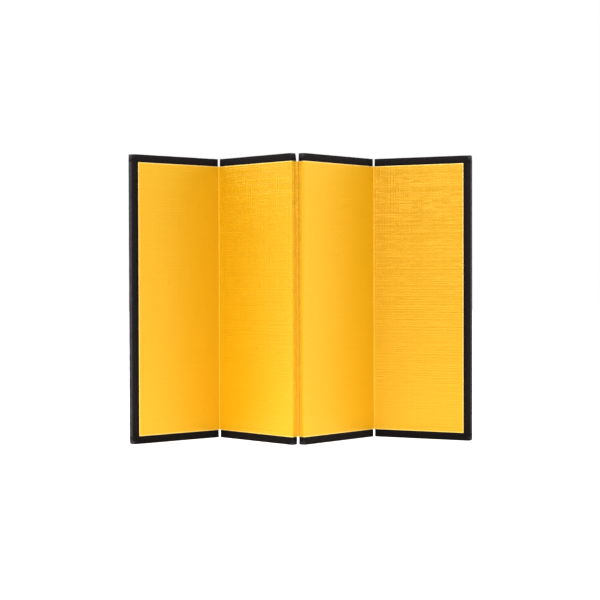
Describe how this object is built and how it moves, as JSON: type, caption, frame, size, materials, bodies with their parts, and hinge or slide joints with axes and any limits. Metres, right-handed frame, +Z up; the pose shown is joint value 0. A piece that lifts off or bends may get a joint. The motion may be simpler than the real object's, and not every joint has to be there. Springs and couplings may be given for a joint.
{
  "type": "folding table screen",
  "caption": "Miniature panelled folding screen for a table top: gold paper boards edged in black tape, joined by paper hinges and standing in a zigzag.",
  "frame": {"origin": "on the ground, under the middle of the standing screen's bounding box", "axes": "+Z up, +X along the row of panels from the first to the last, -Y towards the viewer that the gold faces look at"},
  "size_m": [0.1792, 0.0418, 0.15],
  "materials": {
    "greyboard": "matte",
    "black_edging": "satin",
    "gold_paper": "satin",
    "backing_paper": "matte",
    "hinge_tape": "matte"
  },
  "bodies": {
    "panel_1": {"core_board_1": "greyboard", "top_edging_1": "black_edging", "bottom_edging_1": "black_edging", "side_edging_1": "black_edging", "gold_paper_1": "gold_paper", "backing_paper_1": "backing_paper", "left_fold_tape_1": "hinge_tape"},
    "panel_2": {"core_board_2": "greyboard", "top_edging_2": "black_edging", "bottom_edging_2": "black_edging", "gold_paper_2": "gold_paper", "backing_paper_2": "backing_paper", "left_fold_tape_2": "hinge_tape", "centre_fold_tape_2": "hinge_tape"},
    "panel_3": {"core_board_3": "greyboard", "top_edging_3": "black_edging", "bottom_edging_3": "black_edging", "gold_paper_3": "gold_paper", "backing_paper_3": "backing_paper", "centre_fold_tape_3": "hinge_tape", "right_fold_tape_3": "hinge_tape"},
    "panel_4": {"core_board_4": "greyboard", "top_edging_4": "black_edging", "bottom_edging_4": "black_edging", "side_edging_4": "black_edging", "gold_paper_4": "gold_paper", "backing_paper_4": "backing_paper", "right_fold_tape_4": "hinge_tape"}
  },
  "joints": [
    {"name": "left_fold", "type": "hinge", "parent": "panel_2", "child": "panel_1", "pos_m": [-0.04464, 0.01624, 0.075], "axis": [0, 0, 1], "range_deg": [-81, 99]},
    {"name": "centre_fold", "type": "hinge", "parent": "panel_2", "child": "panel_3", "pos_m": [-0.00227, -0.01859, 0.075], "axis": [0, 0, 1], "range_deg": [-89, 91]},
    {"name": "right_fold", "type": "hinge", "parent": "panel_3", "child": "panel_4", "pos_m": [0.03885, 0.0177, 0.075], "axis": [0, 0, 1], "range_deg": [-110.5, 69.5]}
  ]
}
